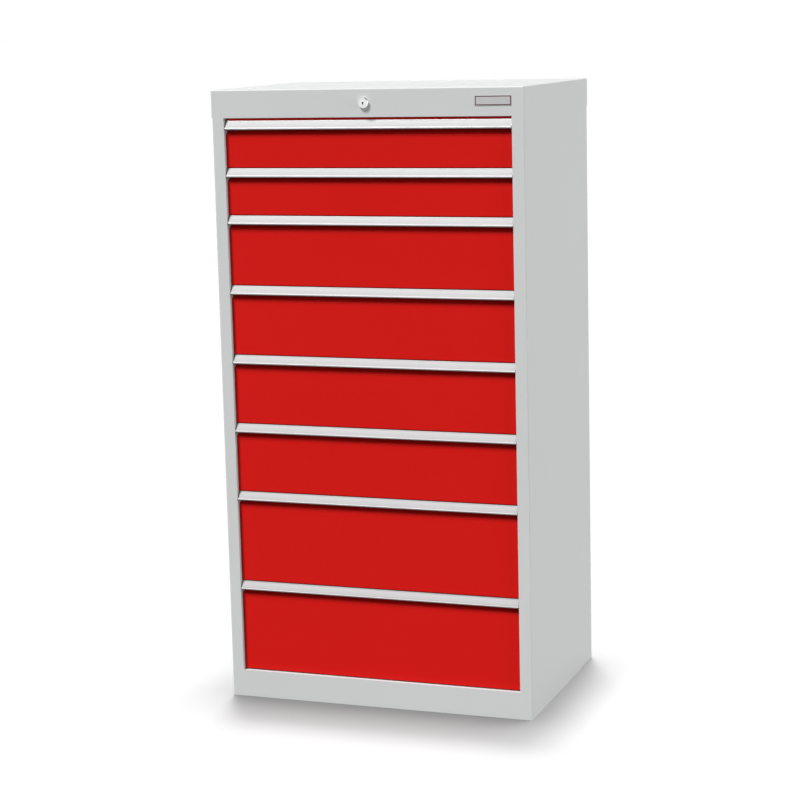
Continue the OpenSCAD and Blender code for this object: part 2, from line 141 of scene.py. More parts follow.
class Shading:
    """A node tree that is built up from wires."""

    def __init__(self, tree):
        self.tree = tree
        self.tree.nodes.clear()

    def feed(self, socket, value):
        if isinstance(value, Wire):
            self.tree.links.new(value.socket, socket)
        else:
            socket.default_value = value

    def node(self, kind, settings=None, sockets=None, output=0):
        """Adds a node: its settings first, then the values or wires of its sockets."""
        made = self.tree.nodes.new(kind)
        for name, value in (settings or {}).items():
            setattr(made, name, value)
        for name, value in (sockets or {}).items():
            self.feed(made.inputs[name], value)
        return Wire(self, made.outputs[output]) if made.outputs else None

    def maths(self, operation, *values):
        return self.node("ShaderNodeMath", {"operation": operation}, dict(enumerate(values)))


class Finish(Shading):
    """One procedural material around a Principled shader."""

    def __init__(self, name, **steady):
        self.material = bpy.data.materials.new(name)
        self.material.use_nodes = True
        super().__init__(self.material.node_tree)
        sockets = {socket.replace("_", " "): value for socket, value in steady.items()}
        surface = self.node("ShaderNodeBsdfPrincipled", None, sockets)
        self.shader = surface.socket.node
        self.node("ShaderNodeOutputMaterial", None, {"Surface": surface})

    def place(self, stretch=(1.0, 1.0, 1.0)):
        """Where a point lies on its own piece, in metres, stretched along each axis."""
        at = self.node("ShaderNodeTexCoord", output="Object")
        return self.node("ShaderNodeVectorMath", {"operation": "MULTIPLY"}, {0: at, 1: stretch})

    def noise(self, place, scale, detail=2.0):
        return self.node("ShaderNodeTexNoise", None, {"Vector": place, "Scale": scale, "Detail": detail})

    def step(self, value, start, width):
        """Rises smoothly from 0 to 1 within a width after the start."""
        reach = {"Value": value, "From Min": start, "From Max": start + width}
        return self.node("ShaderNodeMapRange", {"interpolation_type": "SMOOTHSTEP"}, reach)

    def mix(self, share, first, second):
        colours = {0: share, 6: first, 7: second}
        return self.node("ShaderNodeMix", {"data_type": "RGBA"}, colours, output=2)

    def tint(self, colour, share, spread):
        """The colour drifting darker and lighter by a share of itself."""
        darker = (*(c * (1 - spread) for c in colour), 1.0)
        lighter = (*(min(1.0, c * (1 + spread)) for c in colour), 1.0)
        return self.mix(share, darker, lighter)

    def lay(self, socket, value):
        self.feed(self.shader.inputs[socket], value)

    def emboss(self, height, strength, depth):
        bump = {"Strength": strength, "Distance": depth, "Height": height}
        self.lay("Normal", self.node("ShaderNodeBump", None, bump))


# Finishes

def powder_coat(name, colour, roughness, gloss, peel):
    """Baked powder: a shade drift over the sheet, orange peel and fine specks."""
    coat = Finish(name, Specular_IOR_Level=gloss)
    place = coat.place()
    drift = coat.noise(place, 2.4, 3.0)
    cells = coat.noise(place, 380.0, 2.0)
    specks = coat.noise(place, 1500.0, 1.0)
    tone = drift * 0.7 + cells * 0.2 + specks * 0.1
    coat.lay("Base Color", coat.tint(colour, tone, 0.05))
    coat.lay("Roughness", roughness + (drift - 0.5) * 0.12 + (specks - 0.5) * 0.08)
    coat.emboss(cells * 0.8 + specks * 0.2, peel, 0.3 * MM)
    return coat.material


def anodised_aluminium(name, colour, roughness):
    """Extruded and anodised: fine die lines along the strip and cloudy handling marks."""
    metal = Finish(name, Metallic=1.0)
    lines = metal.noise(metal.place((4.0, 2600.0, 2600.0)), 1.0, 3.0)
    bands = metal.noise(metal.place((1.5, 420.0, 420.0)), 1.0, 2.0)
    marks = metal.noise(metal.place(), 26.0, 3.0)
    metal.lay("Base Color", metal.tint(colour, lines * 0.5 + bands * 0.5, 0.06))
    metal.lay("Roughness", roughness + (lines - 0.5) * 0.16 + (marks - 0.5) * 0.1)
    metal.emboss(lines * 0.6 + bands * 0.4, 0.12, 0.05 * MM)
    return metal.material


def zinc_plate(name, colour, roughness):
    """Bright zinc on rolled steel: small crystals, rolling lines and a faint blue drift."""
    metal = Finish(name, Metallic=1.0)
    place = metal.place()
    crystals = metal.node("ShaderNodeTexVoronoi", None, {"Vector": place, "Scale": 240.0})
    rolling = metal.noise(metal.place((900.0, 3.0, 900.0)), 1.0, 2.0)
    drift = metal.noise(place, 9.0, 2.0)
    tone = crystals * 0.5 + rolling * 0.25 + drift * 0.25
    metal.lay("Base Color", metal.tint(colour, tone, 0.1))
    metal.lay("Roughness", roughness + (crystals - 0.4) * 0.14 + (rolling - 0.5) * 0.12)
    metal.emboss(rolling, 0.08, 0.05 * MM)
    return metal.material


def turned_nickel(name, colour, roughness, axis, groove):
    """Nickel over turned brass: tool rings around the axis, and a rougher band between two radii whose colour
    is darkened as painted shade of a groove.
    """
    metal = Finish(name, Metallic=1.0)
    across = metal.node("ShaderNodeVectorMath", {"operation": "SUBTRACT"}, {0: metal.place(), 1: axis})
    flat = metal.node("ShaderNodeVectorMath", {"operation": "MULTIPLY"}, {0: across, 1: (1.0, 0.0, 1.0)})
    radius = metal.node("ShaderNodeVectorMath", {"operation": "LENGTH"}, {0: flat}, output="Value")
    turning = {"W": radius, "Scale": 5000.0, "Detail": 2.0}
    rings = metal.node("ShaderNodeTexNoise", {"noise_dimensions": "1D"}, turning)
    bloom = metal.noise(metal.place(), 160.0, 2.0)
    # The band is rougher, and its colour is darkened as painted shade of a groove
    dull = metal.step(radius, groove[0], GROOVE_EDGE) - metal.step(radius, groove[1], GROOVE_EDGE)
    shade = (*(GROOVE_SHADE * c for c in colour), 1.0)
    metal.lay("Base Color", metal.mix(dull, metal.tint(colour, bloom * 0.5 + rings * 0.5, 0.06), shade))
    metal.lay("Roughness", roughness + (rings - 0.5) * 0.16 + (bloom - 0.5) * 0.08 + dull * 0.12)
    metal.emboss(rings - dull, 0.1, 0.02 * MM)
    return metal.material


def moulded_nylon(name, colour, roughness):
    """Matt moulded plastic with a fine spark-eroded grain."""
    plastic = Finish(name, Specular_IOR_Level=0.4)
    place = plastic.place()
    grain = plastic.noise(place, 1400.0, 2.0)
    flow = plastic.noise(place, 45.0, 2.0)
    plastic.lay("Base Color", plastic.tint(colour, flow, 0.12))
    plastic.lay("Roughness", roughness + (grain - 0.5) * 0.2)
    plastic.emboss(grain, 0.2, 0.08 * MM)
    return plastic.material


def brushed_plate(name, colour, roughness):
    """A small aluminium plate, brushed along its length."""
    metal = Finish(name, Metallic=1.0)
    brushing = metal.noise(metal.place((30.0, 2000.0, 7000.0)), 1.0, 3.0)
    bloom = metal.noise(metal.place(), 60.0, 2.0)
    metal.lay("Base Color", metal.tint(colour, brushing * 0.7 + bloom * 0.3, 0.09))
    metal.lay("Roughness", roughness + (brushing - 0.5) * 0.2)
    metal.emboss(brushing, 0.1, 0.03 * MM)
    return metal.material


def label_film(name, colour, roughness):
    """A blank paper strip under a clear cover."""
    film = Finish(name, Coat_Weight=0.12, Coat_Roughness=0.4)
    fibres = film.noise(film.place((160.0, 700.0, 700.0)), 1.0, 3.0)
    cloud = film.noise(film.place(), 40.0, 2.0)
    film.lay("Base Color", film.tint(colour, fibres * 0.5 + cloud * 0.5, 0.04))
    film.lay("Roughness", roughness + (cloud - 0.5) * 0.14)
    film.emboss(fibres, 0.04, 0.03 * MM)
    return film.material


def dark_enamel_and_shade(name, colour, roughness, gloss):
    """Dark enamel: stoved on the plate's border line, and near-black on the keyhole guard as painted shade
    inside the keyhole.
    """
    enamel = Finish(name, Specular_IOR_Level=gloss)
    pores = enamel.noise(enamel.place(), 900.0, 2.0)
    enamel.lay("Base Color", enamel.tint(colour, pores, 0.25))
    enamel.lay("Roughness", roughness + (pores - 0.5) * 0.2)
    enamel.emboss(pores, 0.1, 0.03 * MM)
    return enamel.material


def studio_floor(name, colour, roughness, glow):
    """A pale matt floor with a barely visible cloudiness, lit a little from below."""
    floor = Finish(name, Specular_IOR_Level=0.0, Emission_Color=WHITE, Emission_Strength=glow)
    cloud = floor.noise(floor.place(), 0.8, 2.0)
    floor.lay("Base Color", floor.tint(colour, cloud, 0.01))
    floor.lay("Roughness", roughness + (cloud - 0.5) * 0.1)
    return floor.material


# Mesh making

def dress(names, material):
    """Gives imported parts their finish."""
    for name in names:
        slots = nodes[name].data.materials
        slots.clear()
        slots.append(material)


def add_piece(name, form, material, body):
    """Turns a bmesh into a piece that rides on a body of the cabinet."""
    bmesh.ops.recalc_face_normals(form, faces=form.faces)
    mesh = bpy.data.meshes.new(name)
    form.to_mesh(mesh)
    form.free()
    mesh.shade_smooth()
    mesh.set_sharp_from_angle(angle=SHARP_ANGLE)
    mesh.materials.append(material)
    piece = bpy.data.objects.new(name, mesh)
    bpy.context.scene.collection.objects.link(piece)
    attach(piece, body)


def loft(form, rings):
    """Skins closed rings of points in order and closes both ends."""
    rows = [[form.verts.new(point) for point in ring] for ring in rings]
    for low, high in zip(rows, rows[1:]):
        for i in range(len(low)):
            j = (i + 1) % len(low)
            form.faces.new((low[i], low[j], high[j], high[i]))
    form.faces.new(rows[0])
    form.faces.new(rows[-1])


def round_ring(radius):
    """Points on a circle."""
    turns = (2 * math.pi * i / RING_POINTS for i in range(RING_POINTS))
    return [(radius * math.cos(turn), radius * math.sin(turn)) for turn in turns]


def hex_ring(apothem):
    """Points on a hexagon, as many as on a circle."""
    ring = []
    for i in range(RING_POINTS):
        turn = 2 * math.pi * i / RING_POINTS
        off = (turn + math.pi / 6) % (math.pi / 3) - math.pi / 6
        radius = apothem / math.cos(off)
        ring.append((radius * math.cos(turn), radius * math.sin(turn)))
    return ring


def keyhole_ring(radius, slot, reach):
    """A round hole with a slot below it, from the slot's right foot over the top to its left foot."""
    start = math.asin(slot / radius) - math.pi / 2
    sweep = 2 * math.pi - 2 * math.asin(slot / radius)
    turns = (start + sweep * i / (RING_POINTS - 1) for i in range(RING_POINTS))
    arc = [(radius * math.cos(turn), radius * math.sin(turn)) for turn in turns]
    return [(slot, -reach), *arc, (-slot, -reach)]


def button_head(form, foot, out, radius, height, socket):
    """A domed screw head with a hexagon socket, standing on foot and facing out."""
    turn = Vector((0, 0, 1)).rotation_difference(Vector(out)).to_matrix()
    profile = [(round_ring(share * radius), level * height) for share, level in HEAD_DOME]
    profile += [(hex_ring(share * socket), level * height) for share, level in HEAD_SOCKET]
    rings = [
        [Vector(foot) + turn @ Vector((x, y, level)) for x, y in ring] for ring, level in profile
    ]
    loft(form, rings)


def linked(name, pieces, state):
    """A group of pieces that a light takes in or leaves out."""
    group = bpy.data.collections.new(name)
    for piece in pieces:
        group.objects.link(piece)
    for member in group.collection_objects:
        member.light_linking.link_state = state
    return group


# Settings

def colour_setting(name, description, default):
    return FloatVectorProperty(
        name=name, description=description, subtype="COLOR", size=3, min=0.0, max=1.0, default=default
    )


def length_setting(name, description, default):
    return FloatProperty(
        name=name, description=description, subtype="DISTANCE", unit="LENGTH", min=0.0, default=default
    )


def share_setting(name, description, default):
    return FloatProperty(
        name=name, description=description, subtype="FACTOR", min=0.0, max=1.0, default=default
    )


def strength_setting(name, description, default):
    return FloatProperty(name=name, description=description, min=0.0, default=default)


def angle_setting(name, description, degrees):
    return FloatProperty(
        name=name, description=description, subtype="ANGLE", unit="ROTATION", default=math.radians(degrees)
    )


def direction_setting(name, description, default):
    return FloatVectorProperty(
        name=name, description=description, subtype="DIRECTION", size=3, default=default
    )


def place_setting(name, description, default):
    return FloatVectorProperty(
        name=name, description=description, subtype="TRANSLATION", unit="LENGTH", size=3, default=default
    )


class CabinetFinishes(bpy.types.PropertyGroup):
    """Colours and gloss of the cabinet's surfaces."""

    body_grey: colour_setting("Body grey", "Powder coat of the folded body", (0.525, 0.536, 0.531))
    front_red: colour_setting("Front red", "Powder coat of the drawer fronts", (0.54, 0.008, 0.006))
    shell_grey: colour_setting("Shell grey", "Powder coat of the drawer shells", (0.5, 0.51, 0.505))
    handle_silver: colour_setting("Handle silver", "Anodised handle strips", (0.26, 0.258, 0.26))
    label_white: colour_setting("Label white", "Blank label strips", (0.365, 0.362, 0.365))
    zinc_grey: colour_setting("Zinc grey", "Plated rails and uprights", (0.56, 0.59, 0.62))
    nickel_silver: colour_setting("Nickel silver", "Plated lock", (0.86, 0.86, 0.85))
    # The keyhole guard's near-black is painted shade inside the keyhole
    keyhole_shade_black: colour_setting("Keyhole shade black", "Guard painted black as the keyhole's shade", (0.004, 0.004, 0.004))
    nylon_black: colour_setting("Nylon black", "Guides of the locking bar", (0.035, 0.035, 0.038))
    plate_silver: colour_setting("Plate silver", "Bare header plate", (0.5, 0.5, 0.505))
    border_dark: colour_setting("Border dark", "Border line of the header plate", (0.08, 0.016, 0.016))
    body_roughness: share_setting("Body roughness", "Roughness of the grey coat", 0.5)
    body_gloss: share_setting("Body gloss", "Gloss of the grey coat", 0.12)
    front_roughness: share_setting("Front roughness", "Roughness of the red coat", 0.46)
    front_gloss: share_setting("Front gloss", "Gloss of the red coat", 0.06)
    handle_roughness: share_setting("Handle roughness", "Roughness of the handle strips", 0.55)
    label_roughness: share_setting("Label roughness", "Roughness of the labels", 0.5)
    zinc_roughness: share_setting("Zinc roughness", "Roughness of the plated rails", 0.34)
    screw_roughness: share_setting("Screw roughness", "Roughness of the plated screws", 0.28)
    nickel_roughness: share_setting("Nickel roughness", "Roughness of the lock", 0.22)
    keyhole_roughness: share_setting("Keyhole roughness", "Roughness of the keyhole guard", 0.75)
    keyhole_gloss: share_setting("Keyhole gloss", "Gloss of the keyhole guard", 0.05)
    nylon_roughness: share_setting("Nylon roughness", "Roughness of the bar guides", 0.55)
    plate_roughness: share_setting("Plate roughness", "Roughness of the header plate", 0.34)
    border_roughness: share_setting("Border roughness", "Roughness of the border line", 0.4)
    border_gloss: share_setting("Border gloss", "Gloss of the border line", 0.4)
    peel: share_setting("Orange peel", "Strength of the powder coat's texture", 0.12)


class CabinetFittings(bpy.types.PropertyGroup):
    """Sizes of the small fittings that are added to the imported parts."""

    strip_depth: length_setting("Strip depth", "From the red face to a handle strip's rear", 25 * MM)
    strip_slant: angle_setting("Strip slant", "Slant of a handle strip's face", 25.01)
    label_lip: length_setting("Label lip", "From a strip's top edge to its label", 2.15 * MM)
    label_height: length_setting("Label height", "Height of a label along the slant", 12.7 * MM)
    label_seat: length_setting("Label seat", "Depth of the groove that a label lies in", 0.6 * MM)
    label_crown: length_setting("Label crown", "Bulge of a label's cover", 0.12 * MM)
    label_end: length_setting("Label end", "From a strip's end to its label", 1.5 * MM)
    lip_setback: length_setting("Lip setback", "From the top strip's edge back to its lip", 3.0 * MM)
    lip_sheet: length_setting("Lip sheet", "Thickness of the lip's sheet", 0.8 * MM)
    lip_bend: length_setting("Lip bend", "Outer radius of the lip's bend", 1.4 * MM)
    lip_foot: length_setting("Lip foot", "Depth of the lip's foot on the strip", 9.0 * MM)
    lip_gap: length_setting("Lip gap", "Room between the lip and the header", 1.0 * MM)
    border_inset: length_setting("Border inset", "From the plate's edge to its border line", 0.5 * MM)
    border_width: length_setting("Border width", "Width of the plate's border line", 1.9 * MM)
    border_rise: length_setting("Border rise", "Height of the border line on the plate", 0.12 * MM)
    # The rosette's dull groove is a rougher band whose colour is darkened as painted shade
    rosette_rim: length_setting("Rosette rim", "From the plug to the rosette's dull groove", 0.2 * MM)
    rosette_groove: length_setting("Rosette groove", "Outer radius of the rosette's dull groove", 8.6 * MM)
    keyhole_radius: length_setting("Keyhole radius", "Radius of the keyhole guard's round part", 2.05 * MM)
    keyhole_slot: length_setting("Keyhole slot", "Half the width of the guard's lower part", 0.85 * MM)
    keyhole_reach: length_setting("Keyhole reach", "From the plug's middle to the guard's end", 4.5 * MM)
    keyhole_sink: length_setting("Keyhole sink", "Depth of the guard behind the plug's face", 0.3 * MM)
    screw_radius: length_setting("Screw radius", "Radius of a button head", 4.75 * MM)
    screw_height: length_setting("Screw height", "Height of a button head", 2.6 * MM)
    screw_socket: length_setting("Screw socket", "Half the width of a head's hexagon", 1.5 * MM)
    rail_web: length_setting("Rail web", "From a runner's outer side to its screwed web", 10.4 * MM)
    flange_inset: length_setting("Flange inset", "From a side's outer face to its back screws", 12.0 * MM)
    flange_margin: length_setting("Flange margin", "From a rear flange's ends to its screws", 40.0 * MM)
    back_screws: IntProperty(
        name="Back screws", description="Screws along each rear flange", min=2, max=20, default=7
    )


class CabinetStudio(bpy.types.PropertyGroup):
    """Camera, lights and floor."""

    camera_place: place_setting("Camera place", "Where the camera stands", (1.6125, -4.5164, 1.4632))
    camera_angles: FloatVectorProperty(
        name="Camera angles", description="Turn, downward tilt and roll of the camera", subtype="EULER",
        unit="ROTATION", size=3, default=tuple(math.radians(a) for a in (-19.912, 9.821, -1.377)),
    )
    lens: FloatProperty(name="Lens", description="Focal length", unit="CAMERA", default=98.97)
    floor_tone: colour_setting("Floor tone", "Pale floor", (0.12, 0.12, 0.12))
    floor_glow: strength_setting("Floor glow", "Light through the floor", 0.07)
    floor_radius: length_setting("Floor radius", "Radius of the floor", 300.0)
    floor_roughness: share_setting("Floor roughness", "Roughness of the floor", 0.7)
    ground: strength_setting("Ground", "Strength of the light from below", 0.1)
    horizon: strength_setting("Horizon", "Strength of the light all round", 1.03)
    zenith: strength_setting("Zenith", "Strength of the light from above", 0.05)
    key_strength: strength_setting("Key light", "Strength of the light from the front's left", 5.12)
    key_from: direction_setting("Key from", "Where the key light comes from", (-0.36, -0.43, 0.828))
    key_spread: angle_setting("Key spread", "Apparent width of the key light", 15.0)
    side_strength: strength_setting("Side light", "Strength of the light on the right side", 3.0)
    side_from: direction_setting("Side from", "Where the side light comes from", (0.98, -0.05, 0.12))
    side_spread: angle_setting("Side spread", "Apparent width of the side light", 40.0)
    rear_strength: strength_setting("Rear light", "Strength of the light on the back", 1.6)
    rear_from: direction_setting("Rear from", "Where the rear light comes from", (-0.25, 0.96, 0.12))
    rear_spread: angle_setting("Rear spread", "Apparent width of the rear light", 40.0)
    floor_strength: strength_setting("Floor lights", "Strength of the lights on the floor alone", 24.4)


# Operators

class Step(bpy.types.Operator):
    """Shared settings of the cabinet's operators."""

    bl_options = {"REGISTER", "UNDO"}

    @property
    def finishes(self):
        return bpy.context.scene.cabinet_finishes

    @property
    def fittings(self):
        return bpy.context.scene.cabinet_fittings

    @property
    def studio(self):
        return bpy.context.scene.cabinet_studio


class CABINET_OT_paint_body(Step):
    """Powder-coats the folded body and its covers"""

    bl_idname = "cabinet.paint_body"
    bl_label = "Paint body"

    def execute(self, context):
        look = self.finishes
        coat = powder_coat(
            "body powder coat", look.body_grey, look.body_roughness, look.body_gloss, look.peel
        )
        dress(["left_side", "right_side", "back_panel", "base", "top_cover", "header_rail"], coat)
        return {"FINISHED"}


class CABINET_OT_paint_fronts(Step):
    """Powder-coats the drawer fronts and adds the top strip's lip"""

    bl_idname = "cabinet.paint_fronts"
    bl_label = "Paint fronts"

    def execute(self, context):
        look = self.finishes
        coat = powder_coat(
            "front powder coat", look.front_red, look.front_roughness, look.front_gloss, look.peel
        )
        dress([f"drawer_{k}_front" for k in drawers], coat)
        self.add_top_lip(coat)
        return {"FINISHED"}

    def add_top_lip(self, coat):
        """Stands a folded lip on the top drawer's strip, which closes the gap under the header."""
        size = self.fittings
        low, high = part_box(f"{TOP_DRAWER}_handle")
        front = high.y - size.strip_depth + size.lip_setback
        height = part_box("top_cover")[0].z - size.lip_gap - high.z
        sheet, bend, edge = size.lip_sheet, size.lip_bend, LIP_EASE * size.lip_sheet
        turns = [math.pi * (1 + i / (2 * BEND_STEPS)) for i in range(BEND_STEPS + 1)]
        inner, outer = (
            [(bend + radius * math.cos(turn), bend + radius * math.sin(turn)) for turn in turns]
            for radius in (bend - sheet, bend)
        )
        top = [(0, height - edge), (edge, height), (sheet - edge, height), (sheet, height - edge)]
        section = [*top, *inner, (size.lip_foot, sheet), (size.lip_foot, 0), *reversed(outer)]
        rings = [
            [(x, front + y, high.z + z) for y, z in section]
            for x in (low.x + size.label_end, high.x - size.label_end)
        ]
        form = bmesh.new()
        loft(form, rings)
        add_piece(f"{TOP_DRAWER}_lip", form, coat, TOP_DRAWER)


class CABINET_OT_paint_shells(Step):
    """Powder-coats the drawer shells"""

    bl_idname = "cabinet.paint_shells"
    bl_label = "Paint shells"

    def execute(self, context):
        look = self.finishes
        coat = powder_coat(
            "shell powder coat", look.shell_grey, look.body_roughness, look.body_gloss, look.peel
        )
        dress([f"drawer_{k}_shell" for k in drawers], coat)
        return {"FINISHED"}


class CABINET_OT_finish_handles(Step):
    """Anodises the handle strips"""

    bl_idname = "cabinet.finish_handles"
    bl_label = "Finish handles"

    def execute(self, context):
        look = self.finishes
        aluminium = anodised_aluminium("anodised strip", look.handle_silver, look.handle_roughness)
        dress([f"drawer_{k}_handle" for k in drawers], aluminium)
        return {"FINISHED"}


class CABINET_OT_add_labels(Step):
    """Lays a blank label under its clear cover into each handle strip's groove"""

    bl_idname = "cabinet.add_labels"
    bl_label = "Add labels"

    def execute(self, context):
        look, size = self.finishes, self.fittings
        film = label_film("label film", look.label_white, look.label_roughness)
        slant = (math.sin(size.strip_slant), math.cos(size.strip_slant))
        for k in drawers:
            low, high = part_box(f"drawer_{k}_handle")
            edge_y, edge_z = high.y - size.strip_depth, high.z
            section = []
            for i in range(LABEL_STEPS + 1):
                share = i / LABEL_STEPS
                crown = size.label_crown * (1 - (2 * share - 1) ** 2)
                down = size.label_lip + share * size.label_height
                section.append((LABEL_ROOM * size.label_seat - crown, down))
            section.append((size.label_seat, size.label_lip + size.label_height))
            section.append((size.label_seat, size.label_lip))
            rings = []
            for x in (low.x + size.label_end, high.x - size.label_end):
                ring = []
                for depth, down in section:
                    y = edge_y + depth * slant[1] - down * slant[0]
                    z = edge_z - depth * slant[0] - down * slant[1]
                    ring.append((x, y, z))
                rings.append(ring)
            form = bmesh.new()
            loft(form, rings)
            add_piece(f"drawer_{k}_label", form, film, f"drawer_{k}")
        return {"FINISHED"}


class CABINET_OT_finish_steel(Step):
    """Zinc-plates the uprights, rails, slides and lock linkage"""

    bl_idname = "cabinet.finish_steel"
    bl_label = "Finish steel"

    def execute(self, context):
        parts = ["front_uprights", "rear_uprights", "left_rails", "right_rails"]
        parts += ["shaft_bracket", "lock_shaft", "lock_bar"]
        parts += [f"drawer_{k}_{part}" for k in drawers for part in ("runners", "slides")]
        dress(parts, zinc_plate("zinc plate", self.finishes.zinc_grey, self.finishes.zinc_roughness))
        return {"FINISHED"}


class CABINET_OT_finish_lock(Step):
    """Nickel-plates the lock, leaves the bar's guides in nylon and sets a near-black guard into the keyhole
    as painted shade
    """

    bl_idname = "cabinet.finish_lock"
    bl_label = "Finish lock"

    def execute(self, context):
        look, size = self.finishes, self.fittings
        low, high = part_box("lock_plug")
        groove = (high.x - low.x) / 2 + size.rosette_rim, size.rosette_groove
        nickel = turned_nickel(
            "turned nickel", look.nickel_silver, look.nickel_roughness, (low + high) / 2, groove
        )
        dress(["lock_housing", "lock_nut", "lock_plug"], nickel)
        dress(["bar_guides"], moulded_nylon("guide nylon", look.nylon_black, look.nylon_roughness))
        self.add_keyhole_guard()
        return {"FINISHED"}

    def add_keyhole_guard(self):
        """Sets a near-black guard with the key's narrower profile into the keyhole, as painted shade inside
        it.
        """
        look, size = self.finishes, self.fittings
        low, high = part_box("lock_plug")
        middle = (low + high) / 2
        outside = (size.keyhole_radius, size.keyhole_slot, size.keyhole_reach)
        rings = []
        for share, sinks in GUARD_SECTION:
            y = low.y + sinks * size.keyhole_sink
            outline = keyhole_ring(*(share * side for side in outside))
            rings.append([(middle.x + x, y, middle.z + z) for x, z in outline])
        form = bmesh.new()
        loft(form, rings)
        # The guard's near-black enamel is painted shade inside the keyhole
        black = dark_enamel_and_shade(
            "keyhole shade black", look.keyhole_shade_black, look.keyhole_roughness, look.keyhole_gloss
        )
        add_piece("keyhole_shade_guard", form, black, "lock_cylinder")


class CABINET_OT_finish_plate(Step):
    """Brushes the bare header plate and gives it a border line"""

    bl_idname = "cabinet.finish_plate"
    bl_label = "Finish plate"

    def execute(self, context):
        look, size = self.finishes, self.fittings
        dress(["header_plate"], brushed_plate("brushed plate", look.plate_silver, look.plate_roughness))
        low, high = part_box("header_plate")
        form = bmesh.new()
        corners = []
        for inset in (size.border_inset, size.border_inset + size.border_width):
            for y in (low.y + BORDER_SINK, low.y - size.border_rise):
                left, right = low.x + inset, high.x - inset
                bottom, top = low.z + inset, high.z - inset
                ring = [(left, y, bottom), (right, y, bottom), (right, y, top), (left, y, top)]
                corners.append([form.verts.new(point) for point in ring])
        outer_back, outer_front, inner_back, inner_front = corners
        walls = [(outer_back, outer_front), (outer_front, inner_front)]
        walls += [(inner_front, inner_back), (inner_back, outer_back)]
        for first, second in walls:
            for i in range(4):
                j = (i + 1) % 4
                form.faces.new((first[i], first[j], second[j], second[i]))
        enamel = dark_enamel_and_shade("border enamel", look.border_dark, look.border_roughness, look.border_gloss)
        add_piece("plate_border", form, enamel, "cabinet")
        return {"FINISHED"}


class CABINET_OT_add_screws(Step):
    """Sets the button-head screws of the back panel and of the drawer rails"""

    bl_idname = "cabinet.add_screws"
    bl_label = "Add screws"

    def execute(self, context):
        look, size = self.finishes, self.fittings
        steel = zinc_plate("screw zinc", look.zinc_grey, look.screw_roughness)
        head = (size.screw_radius, size.screw_height, size.screw_socket)
        self.add_back_screws(steel, head)
        for k in drawers:
            self.add_rail_screws(k, steel, head)
        return {"FINISHED"}

    def add_back_screws(self, steel, head):
        size = self.fittings
        low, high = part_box("right_side")
        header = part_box("top_cover")[0]
        flange_x = high.x - size.flange_inset
        start, stop = low.z + size.flange_margin, header.z - size.flange_margin
        form = bmesh.new()
        for side in (-1, 1):
            for i in range(size.back_screws):
                z = start + (stop - start) * i / (size.back_screws - 1)
                button_head(form, (side * flange_x, high.y, z), (0, 1, 0), *head)
        add_piece("back_screws", form, steel, "cabinet")

    def add_rail_screws(self, k, steel, head):
        outer_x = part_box(f"drawer_{k}_runners")[1].x
        rail_low, rail_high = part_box(f"drawer_{k}_slides")
        middle_z = (rail_low.z + rail_high.z) / 2
        web_x = outer_x - self.fittings.rail_web
        form = bmesh.new()
        for side in (-1, 1):
            for along in RAIL_SCREWS:
                y = rail_low.y + along * (rail_high.y - rail_low.y)
                button_head(form, (side * web_x, y, middle_z), (side, 0, 0), *head)
        add_piece(f"drawer_{k}_rail_screws", form, steel, f"drawer_{k}")


